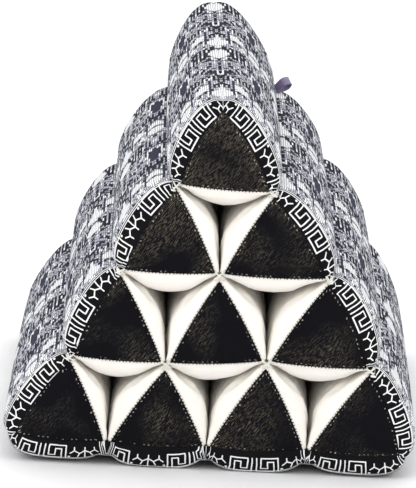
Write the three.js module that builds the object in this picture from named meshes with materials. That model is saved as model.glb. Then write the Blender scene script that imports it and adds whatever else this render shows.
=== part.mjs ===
// A Thai triangle cushion: ten stuffed tubes of triangular section, sewn side by side in four rows,
// with six open channels between them. Millimetres: X across, Y back along the tubes, Z up.
import * as THREE from "three";

// The lattice of seams, seen from the front.
const ROWS = 4;
const CELL = 90; // width of a tube from seam to seam
const RISE = 79; // height of a row
const SEAM_Z = 23; // height of the lowest seams over the floor
const HALF = 242; // from the middle of the length to the rim of an end

// How far the walls swell past the straight lines between the seams, at full stuffing.
const OUTER_SWELL = 20;
const UNDER_SWELL = 23; // of the wall over a channel
const BESIDE_SWELL = 32; // of the two walls beside it, before they press against each other
const FLOOR_SWELL = 25;
const MIDDLE_SWELL = 1.08; // the tubes are a little fatter halfway along
const OUTER_POWER = 2.3; // the outer walls are fuller than a circle's arc
const FLOOR_POWER = 3.5; // and the ones underneath are pressed square by the weight
const CHANNEL_POWER = 2; // the walls round the channels are plain arcs
const UNDER_SHARPNESS = 8; // of the line along which a channel's walls meet
const BESIDE_SHARPNESS = 4;

// The rim round each end, where the end panel is sewn in.
const RIM_OUTER_SWELL = 4.5;
const RIM_INNER_SWELL = 2;
const RIM_FLOOR_SWELL = 3;
const OUTER_SHOULDER = 22; // depth in which an outer wall reaches its full swell
const INNER_SHOULDER = 40;
const CROWN = 7; // how far an end panel bulges out of its rim
const CROWN_RING = 0.62; // where the crown's middle ring lies, from its centre

// How far the corners of an end panel lie inside the seams.
const APEX_INSET = 6.5;
const FOOT_INSET = 7;
const FLANK_INSET = 3.5;
const INNER_INSET = 4.5;
const BODY_INSET = 0.8; // for the corners of the stuffed body, behind the rim

// The cloth.
const GAP = 0.32; // between one piece and the next
const CLOTH = 1.2;
const PANEL_GAP = 0.6; // round the edge of an end panel
const CREASE_FILL = 4; // the cover bridges the crease between two rows this far from the seam
const CREASE_RIM = 1.2;
const BASE_FILL = 15; // and the base bridges the creases under the lowest row almost flat
const CORNER_GAP = 0.6; // between the cover and the base at the two bottom corners
const MITRE_LIMIT = 1.7;

// The loop tag, in the crease under the top tube.
const TAG_Y = 212;
const TAG_WIDTH = 12;
const TAG_CLOTH = 0.9;
const TAG_FOOT = 11; // from the seam to the loop's foot
const TAG_LEAN = -0.08; // radians, towards the floor

// Stations from the front rim to the middle, and points along one side of a tube's section.
const DEPTHS = [0, 2.5, 9, 22, 50, 135, HALF];
const ALONG_SIDE = [0, 0.05, 0.15, 0.3, 0.5, 0.7, 0.85, 0.95];

// How full each tube is: row, place, share of the full swell on its outside and on its channel walls, and
// the depth in which its underside reaches its full swell.
const STUFFING = [
  [1, 1, 0.98, 0.98, 48],
  [2, 1, 1.06, 1.03, 26],
  [2, 2, 1.0, 1.0, 44],
  [3, 1, 0.96, 0.98, 28],
  [3, 2, 1.0, 1.02, 34],
  [3, 3, 1.04, 1.0, 44],
  [4, 1, 0.84, 0.97, OUTER_SHOULDER],
  [4, 2, 1.0, 1.02, OUTER_SHOULDER],
  [4, 3, 1.0, 0.99, OUTER_SHOULDER],
  [4, 4, 0.86, 0.97, OUTER_SHOULDER],
];

// In a channel's two upper corners the tube above takes this share of the corner's angle.
const UPPER_SHARE = 0.62;

// Each channel by its lowest seam: row, place, and the left tube's share of that corner's angle.
const LEFT_SHARES = [
  [2, 1, 0.41],
  [3, 1, 0.44],
  [3, 2, 0.46],
  [4, 1, 0.43],
  [4, 2, 0.53],
  [4, 3, 0.48],
];

// Where the seams have drifted from an even lattice: row, place, then across and up at the front rim,
// and across and up at the back rim.
const DRIFT = [
  [0, 0, -5, 0, -13, 6],
  [1, 0, 3, 2, 2, -2],
  [1, 1, -1, -1, -2, -1],
  [2, 0, 2, 1, -1, -2],
  [2, 1, 0, 1, 0, 2],
  [2, 2, 8, 2, 3, 13],
  [3, 0, 6, -1, 5, 0],
  [3, 1, 1, -4, 1, -1],
  [3, 2, 1, 2, 2, 4],
  [3, 3, 4, 0, 5, 14],
  [4, 0, -2, 2, 4, 0],
  [4, 1, -3, 0, 2, 0],
  [4, 2, -4, 0, 0, 0],
  [4, 3, -4, 1, 0, 0],
  [4, 4, -4, -2, 0, 2],
];

const PURPLE = "#8f7cab";
const cream = new THREE.MeshStandardMaterial({ name: "cream_cotton", color: "#f6efe2", roughness: 0.9 });
const black = new THREE.MeshStandardMaterial({ name: "black_cotton", color: "#15151a", roughness: 0.92 });
const print = new THREE.MeshStandardMaterial({ name: "printed_cotton", color: "#8b8f9c", roughness: 0.85 });
const under = new THREE.MeshStandardMaterial({ name: "base_cotton", color: "#101014", roughness: 0.92 });
const satin = new THREE.MeshStandardMaterial({ name: "purple_satin", color: PURPLE, roughness: 0.4 });

const group = new THREE.Group();

const STATIONS = [...DEPTHS.map((d) => d - HALF), ...DEPTHS.slice(0, -1).reverse().map((d) => HALF - d)];

function point(x, y, z) {
  return new THREE.Vector3(x, y, z);
}

function blend(a, b, share) {
  return a.clone().lerp(b, share);
}

// A seam of the lattice, in the section at y.
function seam(row, place, y) {
  const [, , frontX, frontZ, backX, backZ] = DRIFT.find(([r, p]) => r === row && p === place);
  const back = (y + HALF) / (2 * HALF);
  const x = (place - row / 2) * CELL + frontX * (1 - back) + backX * back;
  const z = SEAM_Z + (ROWS - row) * RISE + frontZ * (1 - back) + backZ * back;
  return point(x, y, z);
}

// The share of its full swell that a wall has at y, from none at the rims.
function growth(y, shoulder) {
  const depth = HALF - Math.abs(y);
  const left = Math.max(0, 1 - depth / shoulder);
  return Math.sqrt(1 - left * left);
}

// The unit vector that points out of a tube's wall, which runs clockwise from one seam to the next.
function outwards(from, to) {
  return point(from.z - to.z, 0, to.x - from.x).normalize();
}

// How far the line that parts a channel's corner stands over the wall, at a distance from the corner.
// The wall's tube has a share of the corner's angle.
function parting(corner, along, third, share, distance) {
  const angle = along.clone().sub(corner).angleTo(third.clone().sub(corner)) * share;
  return Math.max(0, distance * Math.tan(angle) - GAP / Math.cos(angle));
}

// The smallest of some lengths, rounded off where two of them are about the same.
function softLeast(lengths, sharpness) {
  if (Math.min(...lengths) <= 0) {
    return 0;
  }
  return lengths.reduce((sum, length) => sum + length ** -sharpness, 0) ** (-1 / sharpness);
}

// One wall of a tube in the section at y. A channel's wall stops where it meets the other two walls of
// the channel, whose third seam is given; a wall without one is on the outside.
function wall(shape, y) {
  const { from, to, third, shares, swell, rimFrom, rimTo, rimSwell, shoulder, power, sharpness } = shape;
  const out = outwards(from, to);
  const length = from.distanceTo(to);
  const direction = to.clone().sub(from).normalize();
  const middle = 1 + (MIDDLE_SWELL - 1) * (1 - (y / HALF) ** 2);
  return ALONG_SIDE.map((t) => {
    const height = swell * middle * Math.sqrt(1 - Math.abs(2 * t - 1) ** power);
    const full = blend(from, to, t).addScaledVector(out, height);
    const rim = blend(rimFrom, rimTo, t).addScaledVector(out, rimSwell * 4 * t * (1 - t));
    const corner = t === 0 ? OUTER_SHOULDER : shoulder;
    const p = blend(rim, full, growth(y, corner));
    const fromStart = p.clone().sub(from);
    const lift = fromStart.dot(out);
    if (third && lift > 0) {
      const distance = fromStart.dot(direction);
      const near = parting(from, to, third, shares[0], distance);
      const far = parting(to, from, third, shares[1], length - distance);
      p.addScaledVector(out, softLeast([lift, near, far], sharpness) - lift);
    }
    return p;
  });
}

function insetOf(row, place) {
  if (row === 0) {
    return APEX_INSET;
  }
  const flank = place === 0 || place === row;
  if (row === ROWS) {
    return flank ? FOOT_INSET : FLANK_INSET;
  }
  return flank ? FLANK_INSET : INNER_INSET;
}

function towards(from, to, distance) {
  return from.clone().addScaledVector(to.clone().sub(from).normalize(), distance);
}

// The share of the angle that a tube's wall has in the two corners of its channel.
function cornerShares(row, place, side) {
  if (side === 2) {
    return [UPPER_SHARE, UPPER_SHARE];
  }
  const lowest = side === 0 ? place - 1 : place;
  const [, , left] = LEFT_SHARES.find(([r, p]) => r === row && p === lowest);
  return side === 0 ? [1 - left, 1 - UPPER_SHARE] : [1 - UPPER_SHARE, left];
}

// The three walls of a tube in the section at y: up the left, down the right and back along the base.
function walls(row, place, y) {
  const [, , outside, inside, underDepth] = STUFFING.find(([r, p]) => r === row && p === place);
  const corners = [[row, place - 1], [row - 1, place - 1], [row, place]];
  const seams = corners.map(([r, p]) => seam(r, p, y));
  const centre = seams[0].clone().add(seams[1]).add(seams[2]).divideScalar(3);
  const rims = corners.map(([r, p], i) => towards(seams[i], centre, insetOf(r, p)));
  const thirds = [
    place > 1 ? seam(row - 1, place - 2, y) : null,
    place < row ? seam(row - 1, place, y) : null,
    row < ROWS ? seam(row + 1, place, y) : null,
  ];
  return thirds.map((third, i) => {
    const next = (i + 1) % 3;
    const floor = i === 2 && row === ROWS;
    const outer = floor ? FLOOR_SWELL : OUTER_SWELL;
    const outerRim = floor ? RIM_FLOOR_SWELL : RIM_OUTER_SWELL;
    const outerPower = floor ? FLOOR_POWER : OUTER_POWER;
    const innerShoulder = i === 2 ? underDepth : INNER_SHOULDER;
    const innerSwell = i === 2 ? UNDER_SWELL : BESIDE_SWELL;
    const shape = {
      from: seams[i],
      to: seams[next],
      third,
      shares: third ? cornerShares(row, place, i) : null,
      swell: third ? inside * innerSwell : outside * outer,
      rimFrom: rims[i],
      rimTo: rims[next],
      rimSwell: third ? RIM_INNER_SWELL : outerRim,
      shoulder: third ? innerShoulder : OUTER_SHOULDER,
      power: third ? CHANNEL_POWER : outerPower,
      sharpness: i === 2 ? UNDER_SHARPNESS : BESIDE_SHARPNESS,
    };
    const points = wall(shape, y);
    const body = towards(seams[i], centre, BODY_INSET);
    points[0] = blend(rims[i], body, growth(y, OUTER_SHOULDER));
    points.forEach((p) => {
      p.z = Math.max(p.z, CLOTH + GAP);
    });
    return points;
  });
}

// A mesh from points and triangles, closed and facing out.
function mesh(name, points, triangles, material) {
  const geometry = new THREE.BufferGeometry();
  geometry.setAttribute("position", new THREE.Float32BufferAttribute(points.flatMap((p) => p.toArray()), 3));
  geometry.setIndex(triangles.flat());
  geometry.computeVertexNormals();
  const made = new THREE.Mesh(geometry, material);
  made.name = name;
  group.add(made);
}

// Two triangles for each cell of a grid of points, rows of the given width. Cells share one diagonal.
function cells(rows, columns, width, first, closed, flipped) {
  const triangles = [];
  for (let i = 0; i < rows - 1; i++) {
    for (let j = 0; j < (closed ? columns : columns - 1); j++) {
      const a = first + i * width + j;
      const b = first + i * width + ((j + 1) % columns);
      const c = b + width;
      const d = a + width;
      triangles.push(flipped ? [a, c, b] : [a, b, c]);
      triangles.push(flipped ? [a, d, c] : [a, c, d]);
    }
  }
  return triangles;
}

// The crown over a rim: the rim itself, a ring inside it and its centre, all moved along Y.
function crown(rim, outY, offset) {
  const centre = rim.reduce((sum, p) => sum.add(p), point(0, 0, 0)).divideScalar(rim.length);
  const ring = rim.map((p) => blend(centre, p, CROWN_RING));
  const raised = (p, height) => point(p.x, p.y + outY * (height + offset), p.z);
  return [
    ...rim.map((p) => raised(p, 0)),
    ...ring.map((p) => raised(p, CROWN * (1 - CROWN_RING ** 2))),
    raised(centre, CROWN),
  ];
}

// The triangles of a crown that starts at point number first, facing along -Y, or +Y when flipped.
function crownFaces(count, first, flipped) {
  const triangles = cells(2, count, count, first, true, !flipped);
  const centre = first + 2 * count;
  for (let j = 0; j < count; j++) {
    const a = first + count + j;
    const b = first + count + ((j + 1) % count);
    triangles.push(flipped ? [centre, a, b] : [centre, b, a]);
  }
  return triangles;
}

// A stuffed tube: its walls from rim to rim, closed by a crown at each end.
function tube(row, place) {
  const rings = STATIONS.map((y) => walls(row, place, y).flat());
  const count = rings[0].length;
  const last = rings.length - 1;
  const points = rings.slice(1, last).flat();
  const inner = last - 1;
  const front = points.length;
  points.push(...crown(rings[0], -1, 0));
  const back = points.length;
  points.push(...crown(rings[last], 1, 0));
  const triangles = cells(inner, count, count, 0, true, false);
  for (let j = 0; j < count; j++) {
    const k = (j + 1) % count;
    const end = (inner - 1) * count;
    triangles.push([front + j, front + k, k], [front + j, k, j]);
    triangles.push([end + j, end + k, back + k], [end + j, back + k, back + j]);
  }
  triangles.push(...crownFaces(count, front, false), ...crownFaces(count, back, true));
  mesh(`tube_${row}_${place}`, points, triangles, cream);
}

// A black panel over one end of a tube.
function endPanel(row, place, end) {
  const outY = end === "front" ? -1 : 1;
  const rim = walls(row, place, outY * HALF).flat();
  const count = rim.length;
  const centre = rim.reduce((sum, p) => sum.add(p), point(0, 0, 0)).divideScalar(count);
  const edge = rim.map((p) => towards(p, centre, PANEL_GAP));
  const points = [...crown(edge, outY, GAP + CLOTH), ...crown(edge, outY, GAP)];
  const second = 2 * count + 1;
  const flipped = outY > 0;
  const triangles = [...crownFaces(count, 0, flipped), ...crownFaces(count, second, !flipped)];
  for (let j = 0; j < count; j++) {
    const k = (j + 1) % count;
    const [a, b, c, d] = [j, k, second + k, second + j];
    triangles.push(flipped ? [a, c, b] : [a, b, c]);
    triangles.push(flipped ? [a, d, c] : [a, c, d]);
  }
  mesh(`panel_${end}_${row}_${place}`, points, triangles, black);
}

// The unit normals round each point of a sheet's grid, and how far the point moves for one millimetre
// between parallel faces.
function mitres(grid) {
  const faces = grid.slice(1).map((row, i) =>
    row.slice(1).map((p, j) => {
      const across = p.clone().sub(grid[i][j]);
      const other = grid[i][j + 1].clone().sub(row[j]);
      return other.cross(across).normalize();
    }),
  );
  return grid.map((row, i) =>
    row.map((p, j) => {
      const around = [faces[i - 1]?.[j - 1], faces[i - 1]?.[j], faces[i]?.[j - 1], faces[i]?.[j]];
      const near = around.filter((n) => n);
      const normal = near.reduce((sum, n) => sum.add(n), point(0, 0, 0)).normalize();
      if (i === 0 || i === grid.length - 1) {
        normal.set(0, Math.sign(p.y), 0);
        return normal;
      }
      if (p.z <= CLOTH + GAP) {
        normal.set(0, 0, -1);
        return normal;
      }
      const least = Math.min(...near.map((n) => n.dot(normal)));
      return normal.multiplyScalar(Math.min(MITRE_LIMIT, 1 / least));
    }),
  );
}

// A sheet with its inner face the given distance over a grid of points.
function sheet(name, grid, directions, gap, cloth, material) {
  const rows = grid.length;
  const columns = grid[0].length;
  const layer = (distance) =>
    grid.flatMap((row, i) => row.map((p, j) => p.clone().addScaledVector(directions[i][j], distance)));
  const points = [...layer(gap + cloth), ...layer(gap)];
  const second = rows * columns;
  const triangles = [
    ...cells(rows, columns, columns, 0, false, false),
    ...cells(rows, columns, columns, second, false, true),
  ];
  const around = [];
  for (let j = 0; j < columns - 1; j++) {
    around.push(j);
  }
  for (let i = 0; i < rows - 1; i++) {
    around.push(i * columns + columns - 1);
  }
  for (let j = columns - 1; j > 0; j--) {
    around.push((rows - 1) * columns + j);
  }
  for (let i = rows - 1; i > 0; i--) {
    around.push(i * columns);
  }
  around.forEach((a, n) => {
    const b = around[(n + 1) % around.length];
    triangles.push([b, a, second + a], [b, second + a, second + b]);
  });
  mesh(name, points, triangles, material);
}

// The point of a sheet over a seam: a little outside it, so that the cloth bridges the crease.
function bridged(row, place, out, fullFill, y) {
  const fill = CREASE_RIM + (fullFill - CREASE_RIM) * growth(y, OUTER_SHOULDER);
  return seam(row, place, y).addScaledVector(out, fill);
}

// A tube's wall as part of a sheet's section, with its first point moved off the seam.
function lifted(row, place, side, start, y) {
  return [start, ...walls(row, place, y)[side].slice(1)];
}

// The cover's section at y: up over the left tubes, over the apex and down over the right tubes.
function coverSection(y) {
  const foot = seam(ROWS, 0, y);
  const apex = seam(0, 0, y);
  const otherFoot = seam(ROWS, ROWS, y);
  const leftOut = outwards(foot, apex);
  const rightOut = outwards(apex, otherFoot);
  const section = [];
  for (let row = ROWS; row > 0; row--) {
    section.push(...lifted(row, 1, 0, bridged(row, 0, leftOut, CREASE_FILL, y), y));
  }
  const top = walls(1, 1, y);
  for (let row = 1; row <= ROWS; row++) {
    const crease = bridged(row - 1, row - 1, rightOut, CREASE_FILL, y);
    const start = row === 1 ? top[1][0] : crease;
    section.push(...lifted(row, row, 1, start, y));
  }
  const corners = walls(ROWS, 1, y)[0];
  section[0] = towards(corners[0], corners[1], CORNER_GAP);
  const end = walls(ROWS, ROWS, y);
  section.push(towards(end[2][0], end[1].at(-1), CORNER_GAP));
  return section;
}

// The base's section at y, from the right foot to the left foot.
function baseSection(y) {
  const down = point(0, 0, -1);
  const section = [];
  for (let place = ROWS; place > 0; place--) {
    section.push(...lifted(ROWS, place, 2, bridged(ROWS, place, down, BASE_FILL, y), y));
  }
  const first = walls(ROWS, ROWS, y)[2];
  section[0] = towards(first[0], first[1], CORNER_GAP);
  const last = walls(ROWS, 1, y);
  section.push(towards(last[0][0], last[2].at(-1), CORNER_GAP));
  return section;
}

// The loop tag: a ribbon that leaves the crease, turns back and returns beside itself.
function loopTag() {
  const root = seam(1, 1, TAG_Y);
  const out = outwards(seam(0, 0, TAG_Y), seam(ROWS, ROWS, TAG_Y));
  out.applyAxisAngle(point(0, 1, 0), TAG_LEAN);
  const side = point(-out.z, 0, out.x);
  // Half of the loop's outline: distance from its foot, half of its width.
  const outline = [
    [0, 0.75],
    [3, 1.3],
    [6.5, 2.9],
    [10, 4.1],
    [13, 4],
    [15, 2.7],
    [15.8, 0.9],
  ];
  const path = [...outline, ...outline.map(([along, width]) => [along, -width]).reverse()];
  const grid = [-TAG_WIDTH / 2, TAG_WIDTH / 2].map((dy) =>
    path.map(([along, width]) => {
      const p = root.clone().addScaledVector(out, TAG_FOOT + along).addScaledVector(side, width);
      return p.add(point(0, dy, 0));
    }),
  );
  const directions = grid.map((row) =>
    row.map((p, j) => {
      const before = row[Math.max(0, j - 1)];
      const after = row[Math.min(row.length - 1, j + 1)];
      return outwards(before, after);
    }),
  );
  sheet("loop_tag", grid, directions, -TAG_CLOTH / 2, TAG_CLOTH, satin);
}

for (const [row, place] of STUFFING) {
  tube(row, place);
  endPanel(row, place, "front");
  endPanel(row, place, "back");
}

const cover = STATIONS.map(coverSection);
sheet("cover", cover, mitres(cover), GAP, CLOTH, print);

const base = STATIONS.map(baseSection);
sheet("base", base, mitres(base), GAP, CLOTH, under);

loopTag();

export default group;
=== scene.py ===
# A Thai triangle cushion: ten stuffed cotton tubes in four rows, sewn together at their seams,
# printed cloth over the flanks, black panels in the ends and cream walls round the open channels.
import math
import random

import bpy
import numpy as np
from mathutils import Matrix, Vector


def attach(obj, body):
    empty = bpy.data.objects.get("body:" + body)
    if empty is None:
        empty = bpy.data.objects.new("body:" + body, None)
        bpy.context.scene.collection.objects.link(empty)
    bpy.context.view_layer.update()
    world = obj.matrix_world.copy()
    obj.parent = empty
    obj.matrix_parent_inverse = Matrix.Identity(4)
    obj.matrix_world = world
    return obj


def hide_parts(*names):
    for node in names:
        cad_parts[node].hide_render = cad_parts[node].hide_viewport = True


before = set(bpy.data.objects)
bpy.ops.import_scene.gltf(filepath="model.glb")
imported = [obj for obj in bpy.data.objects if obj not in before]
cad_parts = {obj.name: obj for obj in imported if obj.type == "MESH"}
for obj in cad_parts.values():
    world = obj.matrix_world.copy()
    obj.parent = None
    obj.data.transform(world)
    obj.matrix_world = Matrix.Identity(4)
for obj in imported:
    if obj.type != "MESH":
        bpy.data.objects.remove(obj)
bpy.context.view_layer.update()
MM = 0.001

# The floor and backdrop are one pale sheet. Two large soft lamps stand left and right of the camera
# and a weak one behind, so that the shadows stay faint.
for chosen in bpy.context.selected_objects:
    chosen.select_set(False)


def deselect():
    if bpy.context.object and bpy.context.object.mode != "OBJECT":
        bpy.ops.object.mode_set(mode="OBJECT")
    bpy.ops.object.select_all(action="DESELECT")


FLOOR_SIZE = 40
FLOOR_DROP = 0.4 * MM
bpy.ops.mesh.primitive_plane_add(size=FLOOR_SIZE, location=(0, 0, -FLOOR_DROP))
floor = bpy.context.object
floor.name = "floor"
floor_paper = bpy.data.materials.new("floor_paper")
floor_paper.use_nodes = True
paper = floor_paper.node_tree.nodes["Principled BSDF"]
paper.inputs["Base Color"].default_value = (0.975, 0.975, 0.985, 1)
paper.inputs["Roughness"].default_value = 0.9
floor.data.materials.append(floor_paper)

world = bpy.data.worlds.new("studio")
bpy.context.scene.world = world
world.use_nodes = True
world.node_tree.nodes["Background"].inputs["Color"].default_value = (1, 1, 1, 1)
world.node_tree.nodes["Background"].inputs["Strength"].default_value = 1.0
bpy.context.scene.view_settings.view_transform = "Standard"

LAMP_AIM = Vector((0, 0, 0.15))
for name, place, size, power in [
    ("left_softbox", (-1.6, -2.2, 1.9), 1.6, 24),
    ("right_softbox", (1.9, -2.0, 1.2), 1.6, 10),
    ("rear_softbox", (0.2, 1.8, 2.4), 2.0, 14),
]:
    lamp = bpy.data.lights.new(name, "AREA")
    lamp.shape = "SQUARE"
    lamp.size = size
    lamp.energy = power
    stand = bpy.data.objects.new(name, lamp)
    bpy.context.scene.collection.objects.link(stand)
    stand.location = place
    stand.rotation_mode = "QUATERNION"
    stand.rotation_quaternion = (LAMP_AIM - stand.location).to_track_quat("-Z", "Y")

# The camera stands a little over the cushion's top, straight in front of its front end.
AZIMUTH = math.radians(-0.688)
ELEVATION = math.radians(12.79)
ROLL = math.radians(3.0)
DISTANCE = 4.5
AIM = Vector((-0.00883, 0, 0.1555))
LENS = 353.1
SENSOR = 36
back_off = Vector(
    (
        math.sin(AZIMUTH) * math.cos(ELEVATION),
        -math.cos(AZIMUTH) * math.cos(ELEVATION),
        math.sin(ELEVATION),
    )
)
level = (-back_off).cross(Vector((0, 0, 1))).normalized()
upright = level.cross(-back_off)
rolled = level * math.cos(ROLL) + upright * math.sin(ROLL)
rolled_up = upright * math.cos(ROLL) - level * math.sin(ROLL)
lens = bpy.data.cameras.new("camera")
lens.lens = LENS
lens.sensor_width = SENSOR
lens.clip_start = 0.1
lens.clip_end = 100
camera = bpy.data.objects.new("camera", lens)
bpy.context.scene.collection.objects.link(camera)
camera.matrix_world = Matrix.Translation(AIM + back_off * DISTANCE) @ Matrix(
    (rolled, rolled_up, back_off)
).transposed().to_4x4()
bpy.context.scene.camera = camera

# The ten tubes are cream cotton, stuffed hard with kapok and sewn to each other along their corners.
# Their inner walls press together and leave a small dark hole in the middle of each channel.
ROWS = 4
CELL = 90 * MM
RISE = 79 * MM
SEAM_Z = 23 * MM
HALF = 242 * MM
OUTER_SWELL = 20 * MM
UNDER_SWELL = 23 * MM  # of the wall over a channel
BESIDE_SWELL = 32 * MM  # of the two walls beside it, before they press against each other
FLOOR_SWELL = 25 * MM
MIDDLE_SWELL = 1.08
OUTER_POWER = 2.3
FLOOR_POWER = 3.5
CHANNEL_POWER = 2
RIM_OUTER_SWELL = 4.5 * MM
RIM_INNER_SWELL = 2 * MM
RIM_FLOOR_SWELL = 3 * MM
OUTER_SHOULDER = 22 * MM
INNER_SHOULDER = 40 * MM
CROWN = 7 * MM
APEX_INSET = 6.5 * MM
FOOT_INSET = 7 * MM
FLANK_INSET = 3.5 * MM
INNER_INSET = 4.5 * MM
BODY_INSET = 0.8 * MM
GAP = 0.32 * MM
SLIT = 0.12 * MM  # half of the slit where two walls of a channel press together
UPPER_SHARE = 0.62  # of the angle in a channel's upper corners, which the tube above takes
BESIDE_SHARPNESS = 4  # the lower it is, the wider the hole where three walls meet
UNDER_SHARPNESS = 8
CLOTH = 1.2 * MM
CORNER_SHARE = 0.05  # of a wall, in which its corner is drawn in
SHOULDER_SHARE = 0.08  # of a wall, in which the shoulder grows to that wall's own depth
TUBE_STEPS = 26
TUBE_RINGS = 64

# Row and place of each tube: share of the full swell outside and on the channel walls, and the depth
# in which its underside reaches its full swell.
STUFFING = {
    (1, 1): (0.98, 0.98, 48),
    (2, 1): (1.06, 1.03, 26),
    (2, 2): (1.0, 1.0, 44),
    (3, 1): (0.96, 0.98, 28),
    (3, 2): (1.0, 1.02, 34),
    (3, 3): (1.04, 1.0, 44),
    (4, 1): (0.84, 0.97, 22),
    (4, 2): (1.0, 1.02, 22),
    (4, 3): (1.0, 0.99, 22),
    (4, 4): (0.86, 0.97, 22),
}

# Row and place of each channel's lowest seam: the left tube's share of that corner's angle.
LEFT_SHARES = {(2, 1): 0.41, (3, 1): 0.44, (3, 2): 0.46, (4, 1): 0.43, (4, 2): 0.53, (4, 3): 0.48}

# Row and place of each seam: how far it has drifted across and up at the front, then at the back.
DRIFT = {
    (0, 0): (-5, 0, -13, 6),
    (1, 0): (3, 2, 2, -2),
    (1, 1): (-1, -1, -2, -1),
    (2, 0): (2, 1, -1, -2),
    (2, 1): (0, 1, 0, 2),
    (2, 2): (8, 2, 3, 13),
    (3, 0): (6, -1, 5, 0),
    (3, 1): (1, -4, 1, -1),
    (3, 2): (1, 2, 2, 4),
    (3, 3): (4, 0, 5, 14),
    (4, 0): (-2, 2, 4, 0),
    (4, 1): (-3, 0, 2, 0),
    (4, 2): (-4, 0, 0, 0),
    (4, 3): (-4, 1, 0, 0),
    (4, 4): (-4, -2, 0, 2),
}


def seam(row, place, y):
    front_x, front_z, back_x, back_z = DRIFT[row, place]
    back = (y + HALF) / (2 * HALF)
    x = (place - row / 2) * CELL + (front_x + (back_x - front_x) * back) * MM
    z = SEAM_Z + (ROWS - row) * RISE + (front_z + (back_z - front_z) * back) * MM
    return np.array([x, y, z])


def growth(y, shoulder):
    left = np.maximum(0, 1 - (HALF - abs(y)) / shoulder)
    return np.sqrt(1 - left**2)


def unit(arrow):
    return arrow / np.linalg.norm(arrow)


def outwards(start, end):
    return unit(np.array([start[2] - end[2], 0, end[0] - start[0]]))


def parting(corner, along, third, share, distance):
    """How far the line that parts a channel's corner stands over a wall that has this share of it."""
    angle = math.acos(unit(along - corner) @ unit(third - corner)) * share
    return np.maximum(0, distance * math.tan(angle) - SLIT / math.cos(angle))


def corner_shares(row, place, side):
    if side == 2:
        return UPPER_SHARE, UPPER_SHARE
    left = LEFT_SHARES[row, place - 1 if side == 0 else place]
    return (1 - left, 1 - UPPER_SHARE) if side == 0 else (1 - UPPER_SHARE, left)


def soft_least(lengths, sharpness):
    least = np.maximum(lengths, 0.001 * MM)
    rounded = (least**-sharpness).sum(axis=0) ** (-1 / sharpness)
    return np.where(np.min(lengths, axis=0) > 0, rounded, 0)


def inset(row, place):
    if row == 0:
        return APEX_INSET
    flank = place in (0, row)
    if row == ROWS:
        return FOOT_INSET if flank else FLANK_INSET
    return FLANK_INSET if flank else INNER_INSET


def third_seam(row, place, side):
    """The far seam of the channel on a side of a tube, or None on the outside."""
    if side == 0 and place > 1:
        return (row - 1, place - 2)
    if side == 1 and place < row:
        return (row - 1, place)
    if side == 2 and row < ROWS:
        return (row + 1, place)
    return None


def tube_wall(row, place, side, y, along):
    """One wall of a tube in the section at y: up its left, down its right or back along its base."""
    outside, inside, under_depth = STUFFING[row, place]
    corners = [(row, place - 1), (row - 1, place - 1), (row, place)]
    seams = [seam(r, p, y) for r, p in corners]
    centre = sum(seams) / 3
    rims = [s + unit(centre - s) * inset(r, p) for s, (r, p) in zip(seams, corners)]
    after = (side + 1) % 3
    start, end = seams[side], seams[after]
    third = third_seam(row, place, side)
    swell, rim_swell, power, shoulder = outside * OUTER_SWELL, RIM_OUTER_SWELL, OUTER_POWER, OUTER_SHOULDER
    if third:
        swell = inside * (UNDER_SWELL if side == 2 else BESIDE_SWELL)
        shoulder = under_depth * MM if side == 2 else INNER_SHOULDER
        rim_swell, power = RIM_INNER_SWELL, CHANNEL_POWER
    elif side == 2:
        swell, rim_swell, power = outside * FLOOR_SWELL, RIM_FLOOR_SWELL, FLOOR_POWER
    out = outwards(start, end)
    length = np.linalg.norm(end - start)
    middle = 1 + (MIDDLE_SWELL - 1) * (1 - (y / HALF) ** 2)
    height = swell * middle * np.sqrt(np.maximum(0, 1 - abs(2 * along - 1) ** power))
    t = along[:, None]
    drawn = np.maximum(0, 1 - t / CORNER_SHARE) * unit(centre - start) * BODY_INSET
    drawn = drawn + np.maximum(0, 1 - (1 - t) / CORNER_SHARE) * unit(centre - end) * BODY_INSET
    full = start + t * (end - start) + height[:, None] * out + drawn
    rim = rims[side] + t * (rims[after] - rims[side]) + (rim_swell * 4 * t * (1 - t)) * out
    edge = np.minimum(1, np.minimum(along, 1 - along) / SHOULDER_SHARE)
    grown = growth(y, OUTER_SHOULDER + (shoulder - OUTER_SHOULDER) * edge)
    points = rim + (full - rim) * grown[:, None]
    if third:
        far_seam = seam(*third, y)
        shares = corner_shares(row, place, side)
        lift = (points - start) @ out
        distance = (points - start) @ (end - start) / length
        near = parting(start, end, far_seam, shares[0], distance)
        far = parting(end, start, far_seam, shares[1], length - distance)
        pressed = soft_least([lift, near, far], UNDER_SHARPNESS if side == 2 else BESIDE_SHARPNESS)
        points += np.where(lift > 0, pressed - lift, 0)[:, None] * out
    points[:, 2] = np.maximum(points[:, 2], CLOTH + GAP)
    return points


def close_at_ends(count):
    """Numbers from 0 to 1 that crowd towards both ends."""
    return (1 - np.cos(np.linspace(0, math.pi, count))) / 2


def rings_along(shoulder_rings, middle_rings, shoulder):
    """Stations along the tubes, crowded where the shoulders turn."""
    turn = shoulder * np.linspace(0, 1, shoulder_rings) ** 1.7
    middle = np.linspace(shoulder, 2 * HALF - shoulder, middle_rings)[1:-1]
    return np.concatenate([turn, middle, 2 * HALF - turn[::-1]]) - HALF


def grid_faces(rows, columns, first=0, closed=False):
    faces = []
    for i in range(rows - 1):
        for j in range(columns if closed else columns - 1):
            a = first + i * columns + j
            b = first + i * columns + (j + 1) % columns
            faces.append((a, b, b + columns, a + columns))
    return faces


def crown_points(rim, out_y, shares, rise):
    """Rings inside a rim, bulging along Y, and their centre."""
    centre = rim.mean(axis=0)
    points = []
    for share in shares:
        ring = centre + (rim - centre) * share
        ring[:, 1] = rim[:, 1] + out_y * rise * (1 - share**2)
        points.append(ring)
    middle = centre.copy()
    middle[1] += out_y * rise
    return np.concatenate(points + [middle[None]])


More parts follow.
